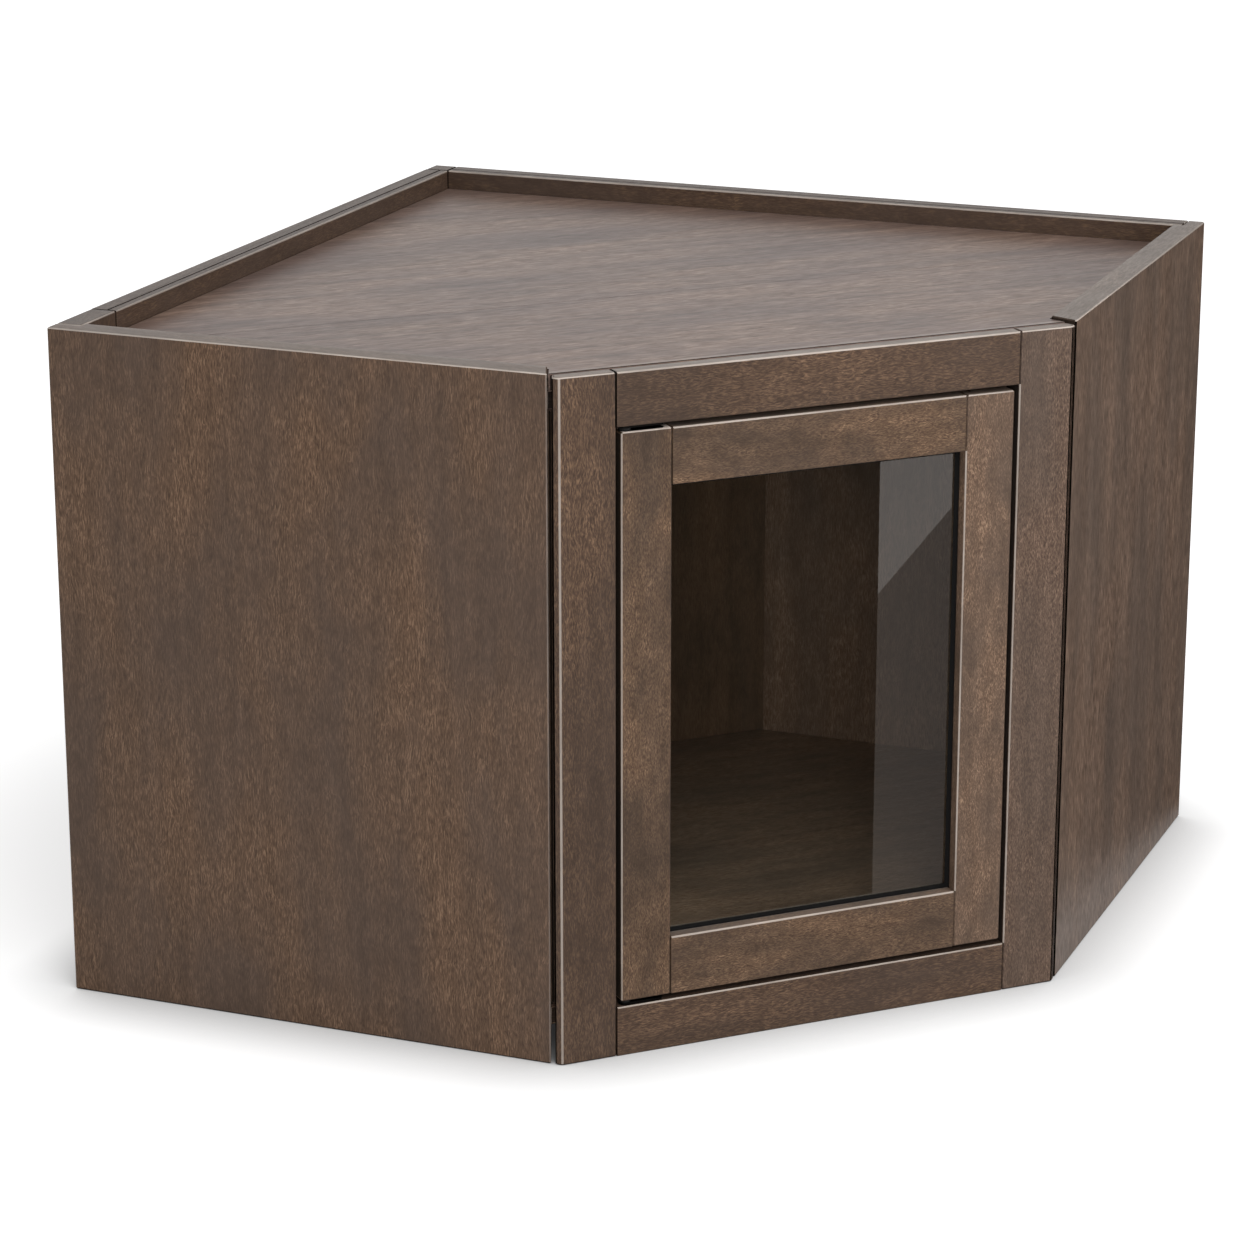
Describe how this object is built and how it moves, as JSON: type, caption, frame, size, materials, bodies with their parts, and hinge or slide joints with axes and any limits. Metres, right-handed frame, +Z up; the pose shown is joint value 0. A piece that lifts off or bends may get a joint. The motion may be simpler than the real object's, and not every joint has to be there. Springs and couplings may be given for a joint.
{
  "type": "corner wall cabinet",
  "caption": "Five-sided diagonal corner wall cabinet with an inset glass door in a face frame, mitred to full-depth side panels.",
  "frame": {"origin": "middle of the footprint's bounding box, on the plane of the bottom edges", "axes": "+Z up, the door faces -Y, +X to the right as seen from the door side; the walls run back at 45 degrees to meet at +Y"},
  "size_m": [0.8616, 0.6824, 0.457],
  "materials": {
    "side_panel_left": "dark smoky-brown stain under a satin clear lacquer, fine closed grain",
    "side_panel_right": "dark smoky-brown stain under a satin clear lacquer, fine closed grain",
    "back_skin_left": "dark smoky-brown stain under a satin clear lacquer, fine closed grain",
    "back_skin_right": "dark smoky-brown stain under a satin clear lacquer, fine closed grain",
    "top_hanging_rail_left": "dark smoky-brown stain under a satin clear lacquer, fine closed grain",
    "top_hanging_rail_right": "dark smoky-brown stain under a satin clear lacquer, fine closed grain",
    "bottom_hanging_rail_left": "dark smoky-brown stain under a satin clear lacquer, fine closed grain",
    "bottom_hanging_rail_right": "dark smoky-brown stain under a satin clear lacquer, fine closed grain",
    "back_stile_left": "dark smoky-brown stain under a satin clear lacquer, fine closed grain",
    "back_corner_post": "dark smoky-brown stain under a satin clear lacquer, fine closed grain",
    "top_panel": "dark smoky-brown stain under a satin clear lacquer, fine closed grain",
    "bottom_panel": "dark smoky-brown stain under a satin clear lacquer, fine closed grain",
    "corner_panel": "dark smoky-brown stain under a satin clear lacquer, fine closed grain",
    "top_front_cleat": "dark smoky-brown stain under a satin clear lacquer, fine closed grain",
    "frame_stile_left": "dark smoky-brown stain under a satin clear lacquer, fine closed grain",
    "frame_stile_right": "dark smoky-brown stain under a satin clear lacquer, fine closed grain",
    "frame_top_rail": "dark smoky-brown stain under a satin clear lacquer, fine closed grain",
    "frame_bottom_rail": "dark smoky-brown stain under a satin clear lacquer, fine closed grain",
    "glue_block_left": "dark smoky-brown stain under a satin clear lacquer, fine closed grain",
    "glue_block_right": "dark smoky-brown stain under a satin clear lacquer, fine closed grain",
    "door_stile_left": "dark smoky-brown stain under a satin clear lacquer, fine closed grain",
    "door_stile_right": "dark smoky-brown stain under a satin clear lacquer, fine closed grain",
    "door_top_rail": "dark smoky-brown stain under a satin clear lacquer, fine closed grain",
    "door_bottom_rail": "dark smoky-brown stain under a satin clear lacquer, fine closed grain",
    "glass_stop_left": "dark smoky-brown stain under a satin clear lacquer, fine closed grain",
    "glass_stop_right": "dark smoky-brown stain under a satin clear lacquer, fine closed grain",
    "glass_stop_top": "dark smoky-brown stain under a satin clear lacquer, fine closed grain",
    "glass_stop_bottom": "dark smoky-brown stain under a satin clear lacquer, fine closed grain",
    "door_glass": "clear float glass",
    "hinge_steel": "chemically blackened steel",
    "washer_plastic": "dark moulded plastic",
    "catch_plastic": "dark brown moulded plastic"
  },
  "bodies": {
    "cabinet": {"side_panel_left": "side_panel_left", "side_panel_right": "side_panel_right", "back_skin_left": "back_skin_left", "back_skin_right": "back_skin_right", "top_hanging_rail_left": "top_hanging_rail_left", "top_hanging_rail_right": "top_hanging_rail_right", "bottom_hanging_rail_left": "bottom_hanging_rail_left", "bottom_hanging_rail_right": "bottom_hanging_rail_right", "back_stile_left": "back_stile_left", "back_corner_post": "back_corner_post", "top_panel": "top_panel", "bottom_panel": "bottom_panel", "corner_panel": "corner_panel", "top_front_cleat": "top_front_cleat", "frame_stile_left": "frame_stile_left", "frame_stile_right": "frame_stile_right", "frame_top_rail": "frame_top_rail", "frame_bottom_rail": "frame_bottom_rail", "glue_block_left": "glue_block_left", "glue_block_right": "glue_block_right", "upper_pivot_frame_leaf": "hinge_steel", "lower_pivot_frame_leaf": "hinge_steel", "upper_pivot_washer": "washer_plastic", "lower_pivot_washer": "washer_plastic", "catch_body": "catch_plastic"},
    "door": {"door_stile_left": "door_stile_left", "door_stile_right": "door_stile_right", "door_top_rail": "door_top_rail", "door_bottom_rail": "door_bottom_rail", "glass_pane": "door_glass", "glass_stop_left": "glass_stop_left", "glass_stop_right": "glass_stop_right", "glass_stop_top": "glass_stop_top", "glass_stop_bottom": "glass_stop_bottom", "upper_pivot_door_leaf": "hinge_steel", "lower_pivot_door_leaf": "hinge_steel", "strike_plate": "hinge_steel"}
  },
  "joints": [
    {"name": "door_swing", "type": "hinge", "parent": "cabinet", "child": "door", "pos_m": [-0.13361, -0.33575, 0.227], "axis": [0, 0, -1], "range_deg": [0, 105]}
  ]
}
